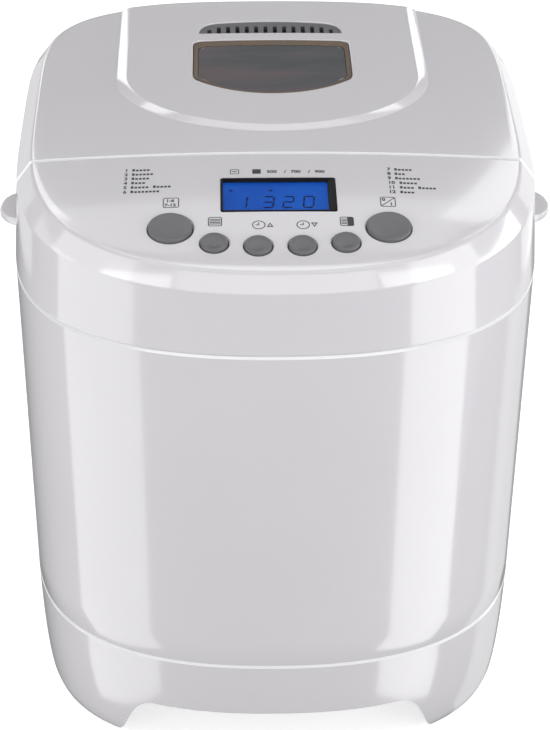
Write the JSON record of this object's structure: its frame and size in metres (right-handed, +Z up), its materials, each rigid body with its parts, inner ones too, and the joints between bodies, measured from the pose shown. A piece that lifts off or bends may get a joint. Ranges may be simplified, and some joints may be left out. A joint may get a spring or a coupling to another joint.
{
  "type": "bread machine",
  "caption": "Countertop bread machine with a windowed hinged lid, curved button panel, lift-out pan and belt-driven paddle.",
  "frame": {"origin": "on the table under the middle of the footprint, between the feet", "axes": "+Z up, -Y towards the control panel at the front, +X to the right of someone facing the panel"},
  "size_m": [0.2688, 0.273, 0.3087],
  "materials": {
    "white_plastic": "glossy moulded housing",
    "grey_plastic": "satin",
    "dark_plastic": "satin",
    "black_rubber": "matt",
    "steel": "plain",
    "galvanised_steel": "zinc coated sheet",
    "dark_element": "oxidised sheath",
    "cast_aluminium": "cast",
    "aluminium_sheet": "satin sheet",
    "brass": "sintered",
    "nonstick_coating": "satin non-stick",
    "circuit_board": "green laminate",
    "grey_silicone": "soft",
    "display_lens": "clear",
    "display_blue": "backlit",
    "bronze_trim": "metallic rim",
    "smoked_glass": "smoked"
  },
  "bodies": {
    "housing": {"base_tray": "white_plastic", "mid_casing": "white_plastic", "top_casing": "white_plastic", "cord_gland": "black_rubber", "foot_front_left": "black_rubber", "foot_front_right": "black_rubber", "foot_back_left": "black_rubber", "foot_back_right": "black_rubber", "base_screw_front_left": "steel", "base_screw_front_right": "steel", "base_screw_back_left": "steel", "base_screw_back_right": "steel", "oven_liner": "galvanised_steel", "temperature_sensor": "steel", "heating_element": "dark_element", "element_clip_left": "steel", "element_clip_right": "steel", "chassis": "galvanised_steel", "motor": "steel", "drive_belt": "black_rubber", "drive_bearing": "brass", "pan_seat": "steel", "power_board": "circuit_board", "motor_capacitor": "dark_plastic", "control_board": "circuit_board", "ribbon_cable": "grey_silicone", "display_lens": "display_lens", "display_module": "display_blue", "hinge_pin_left": "steel", "hinge_pin_right": "steel", "lid_gasket": "grey_silicone"},
    "lid": {"lid_shell": "white_plastic", "window_seal": "bronze_trim", "window_glass": "smoked_glass", "vent_grille": "grey_plastic", "lid_liner": "aluminium_sheet", "inner_glass": "smoked_glass", "lid_screw_1": "steel", "lid_screw_2": "steel", "lid_screw_3": "steel", "lid_screw_4": "steel"},
    "menu_button": {"menu_button": "grey_plastic"},
    "size_button": {"size_button": "grey_plastic"},
    "time_up_button": {"time_up_button": "grey_plastic"},
    "time_down_button": {"time_down_button": "grey_plastic"},
    "crust_button": {"crust_button": "grey_plastic"},
    "start_stop_button": {"start_stop_button": "grey_plastic"},
    "pan": {"bread_pan": "nonstick_coating", "pan_bush": "brass"},
    "handle": {"pan_handle": "steel"},
    "pan_drive": {"pan_shaft": "steel", "pan_coupler": "cast_aluminium"},
    "paddle": {"kneading_paddle": "nonstick_coating"},
    "drive": {"drive_pulley": "cast_aluminium", "drive_shaft": "steel", "drive_coupler": "cast_aluminium"},
    "motor_rotor": {"motor_shaft": "steel", "motor_pulley": "cast_aluminium"}
  },
  "joints": [
    {"name": "lid_hinge", "type": "hinge", "parent": "housing", "child": "lid", "pos_m": [0, 0.126, 0.2555], "axis": [-1, 0, 0], "range_deg": [0, 78]},
    {"name": "menu_press", "type": "slide", "parent": "housing", "child": "menu_button", "axis": [0, 0.181, -0.9835], "range_m": [0, 0.001], "stiffness_N_per_m": 800},
    {"name": "size_press", "type": "slide", "parent": "housing", "child": "size_button", "axis": [0, 0.2081, -0.9781], "range_m": [0, 0.001], "stiffness_N_per_m": 800},
    {"name": "time_up_press", "type": "slide", "parent": "housing", "child": "time_up_button", "axis": [0, 0.2145, -0.9767], "range_m": [0, 0.001], "stiffness_N_per_m": 800},
    {"name": "time_down_press", "type": "slide", "parent": "housing", "child": "time_down_button", "axis": [0, 0.2145, -0.9767], "range_m": [0, 0.001], "stiffness_N_per_m": 800},
    {"name": "crust_press", "type": "slide", "parent": "housing", "child": "crust_button", "axis": [0, 0.2081, -0.9781], "range_m": [0, 0.001], "stiffness_N_per_m": 800},
    {"name": "start_stop_press", "type": "slide", "parent": "housing", "child": "start_stop_button", "axis": [0, 0.181, -0.9835], "range_m": [0, 0.001], "stiffness_N_per_m": 800},
    {"name": "pan_lift", "type": "slide", "parent": "housing", "child": "pan", "axis": [0, 0, 1], "range_m": [0, 0.012]},
    {"name": "pan_handle_swing", "type": "hinge", "parent": "pan", "child": "handle", "pos_m": [0, 0.0445, 0.22], "axis": [-1, 0, 0], "range_deg": [0, 20]},
    {"name": "drive_spin", "type": "hinge", "parent": "housing", "child": "drive", "pos_m": [0, 0.0445, 0.05], "axis": [0, 0, 1], "continuous": true},
    {"name": "motor_spin", "type": "hinge", "parent": "housing", "child": "motor_rotor", "pos_m": [-0.038, -0.075, 0.05], "axis": [0, 0, 1], "continuous": true},
    {"name": "pan_shaft_spin", "type": "hinge", "parent": "pan", "child": "pan_drive", "pos_m": [0, 0.0445, 0.1], "axis": [0, 0, 1], "continuous": true},
    {"name": "paddle_lift", "type": "slide", "parent": "pan_drive", "child": "paddle", "axis": [0, 0, 1], "range_m": [0, 0.09]}
  ],
  "couplings": [
    {"joint": "motor_spin", "follows": "drive_spin", "ratio": 5},
    {"joint": "pan_shaft_spin", "follows": "drive_spin", "ratio": 1}
  ]
}
